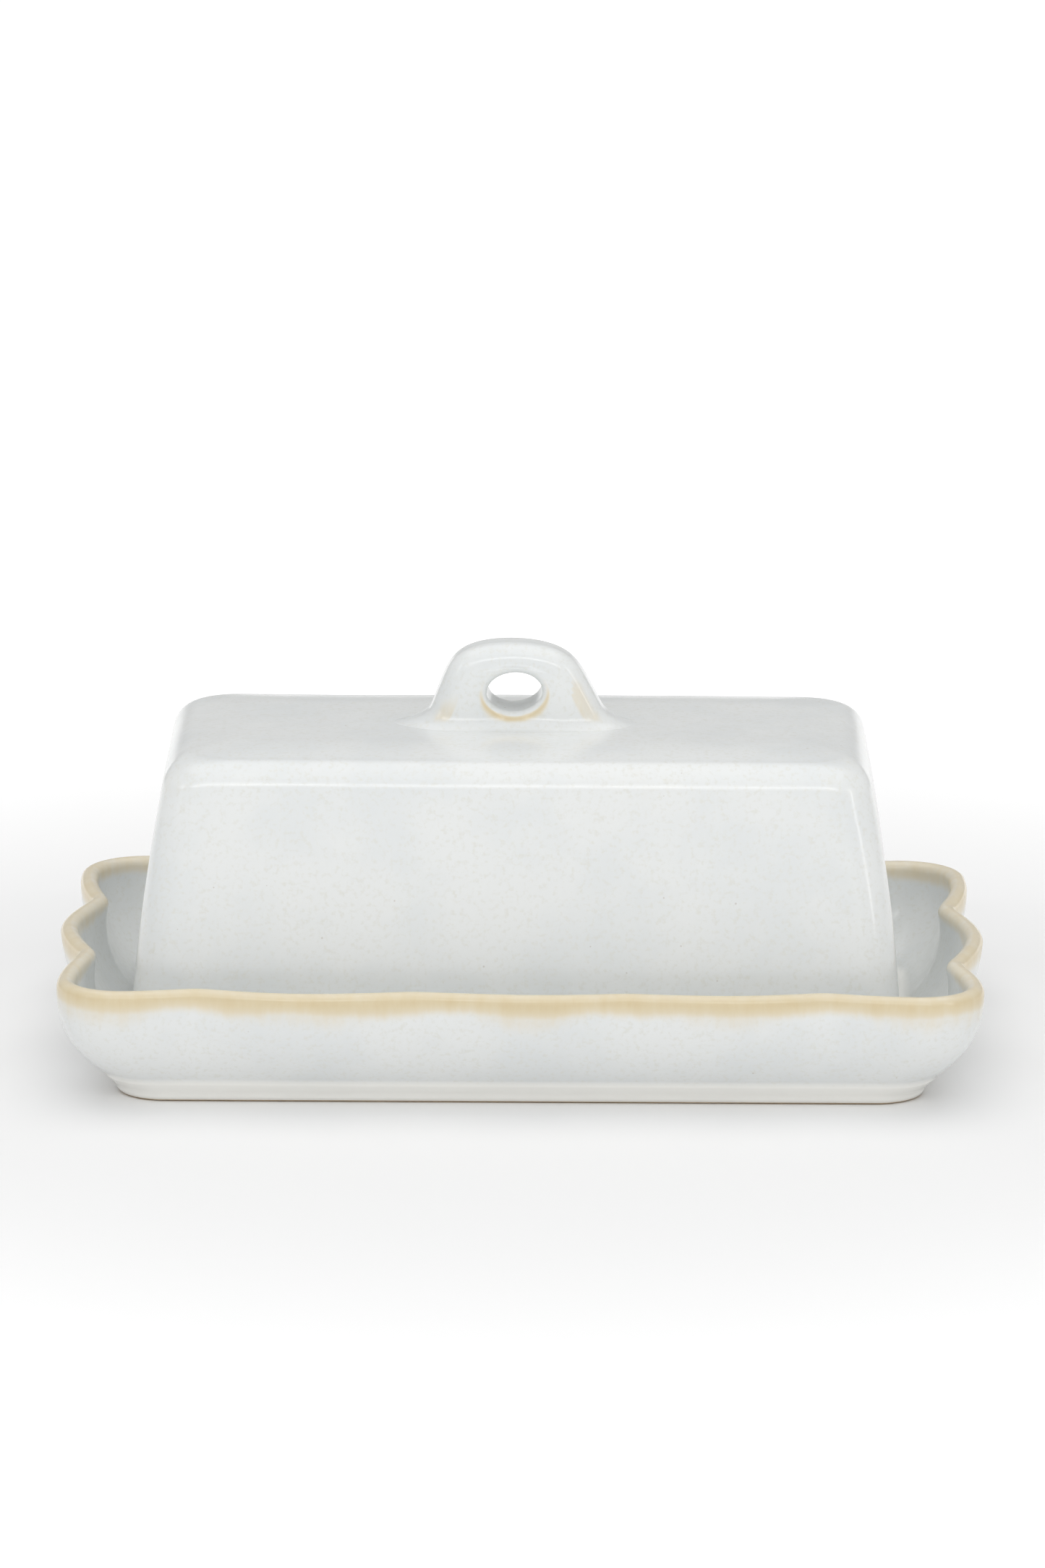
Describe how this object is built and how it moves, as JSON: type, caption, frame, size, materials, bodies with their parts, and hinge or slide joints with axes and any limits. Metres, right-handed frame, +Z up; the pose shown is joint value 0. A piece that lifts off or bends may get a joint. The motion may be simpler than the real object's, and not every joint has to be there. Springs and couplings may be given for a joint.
{
  "type": "butter dish",
  "caption": "Rectangular covered butter dish in glazed stoneware: low tray with a ruffled, flaring rim, and a tall lift-off lid with a pierced pull.",
  "frame": {"origin": "on the table, under the middle of the tray's foot", "axes": "+X along the dish, +Y towards its back long side, +Z up"},
  "size_m": [0.21, 0.1314, 0.0944],
  "materials": {
    "tray_glaze": "glossy off-white reactive glaze that breaks honey brown on the rim",
    "lid_glaze": "glossy off-white reactive glaze with fine iron specks",
    "pull_glaze": "glossy off-white reactive glaze that breaks honey brown on the edges and round the eye"
  },
  "bodies": {
    "tray": {"tray": "tray_glaze"},
    "lid": {"lid_shell": "lid_glaze", "lid_handle": "pull_glaze"}
  },
  "joints": [
    {"name": "lid_lift", "type": "slide", "parent": "tray", "child": "lid", "axis": [0, 0, 1], "range_m": [0, 0.1]}
  ]
}
